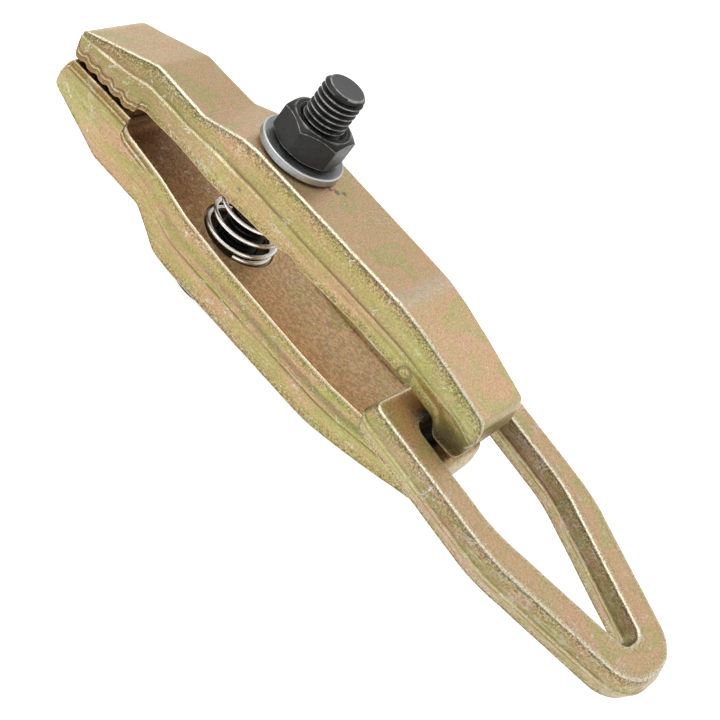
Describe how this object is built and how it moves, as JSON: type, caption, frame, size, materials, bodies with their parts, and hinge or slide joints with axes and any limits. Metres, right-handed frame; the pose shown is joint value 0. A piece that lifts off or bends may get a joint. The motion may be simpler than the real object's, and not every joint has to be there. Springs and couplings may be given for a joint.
{
  "type": "pull clamp",
  "caption": "Self-tightening sheet-metal pull clamp: forged serrated jaws on a spring-loaded bolt, with a captive pull ring whose crossbar wedges the rear lips apart.",
  "frame": {"origin": "centre of the bolt head's outer flat face, on the bolt axis", "axes": "+Z along the bolt from its head to the nut, +X from the bolt towards the pull ring, +Y across the jaws"},
  "size_m": [0.2586, 0.0644, 0.0867],
  "materials": {
    "forged_plating": "yellow zinc plating over drop-forged steel, satin, with worn bright edges",
    "black_oxide": "black oxide, satin",
    "bright_zinc": "bright zinc plating",
    "spring_wire": "bright drawn wire"
  },
  "bodies": {
    "lower_half": {"lower_jaw": "forged_plating", "clamp_bolt": "black_oxide", "return_spring": "spring_wire"},
    "washer": {"flat_washer": "bright_zinc"},
    "nut": {"hex_nut": "black_oxide"},
    "upper_half": {"upper_jaw": "forged_plating"},
    "ring": {"pull_ring": "forged_plating"}
  },
  "joints": [
    {"name": "nut_travel", "type": "slide", "parent": "lower_half", "child": "washer", "axis": [0, 0, 1], "range_m": [0, 0.01], "deforming": ["return_spring"]},
    {"name": "nut_spin", "type": "hinge", "parent": "washer", "child": "nut", "pos_m": [0, 0, 0.068], "axis": [0, 0, 1], "range_deg": [-10, 1810]},
    {"name": "jaw_rock", "type": "hinge", "parent": "washer", "child": "upper_half", "pos_m": [0, 0, 0.0594], "axis": [0, 1, 0], "range_deg": [-0.3, 0.3]},
    {"name": "ring_slide", "type": "slide", "parent": "lower_half", "child": "ring", "axis": [1, 0, 0], "range_m": [-0.03, 0.0005]}
  ],
  "couplings": [
    {"joint": "nut_spin", "follows": "nut_travel", "rad_per_m": 3141.6}
  ]
}
